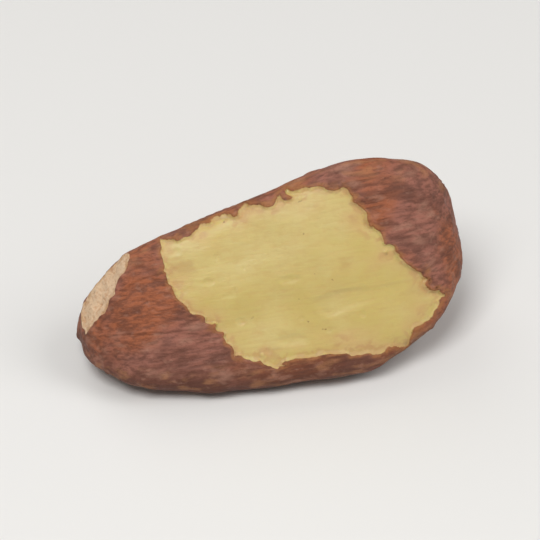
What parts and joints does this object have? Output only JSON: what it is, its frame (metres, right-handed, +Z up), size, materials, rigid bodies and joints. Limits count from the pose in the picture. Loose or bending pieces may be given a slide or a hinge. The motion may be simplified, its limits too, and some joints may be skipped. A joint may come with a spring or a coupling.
{
  "type": "brazil nut kernel",
  "caption": "Shelled brazil nut with three rounded ridges, ivory flesh bare on one face, brown skin on the rest and a broken narrow tip.",
  "frame": {"origin": "middle of the bounding box in X and Y, on the surface that the nut rests on", "axes": "+X along the nut from the narrow end with the broken tip to the blunt end, +Y from the bare front face to the back, +Z up from the flat spot"},
  "size_m": [0.0324, 0.0178, 0.0159],
  "materials": {
    "kernel": "smooth oily ivory flesh where the skin is gone, dull reddish brown papery skin elsewhere, pale grainy flesh at the broken tip"
  },
  "bodies": {
    "root": {"kernel": "kernel"}
  },
  "joints": []
}
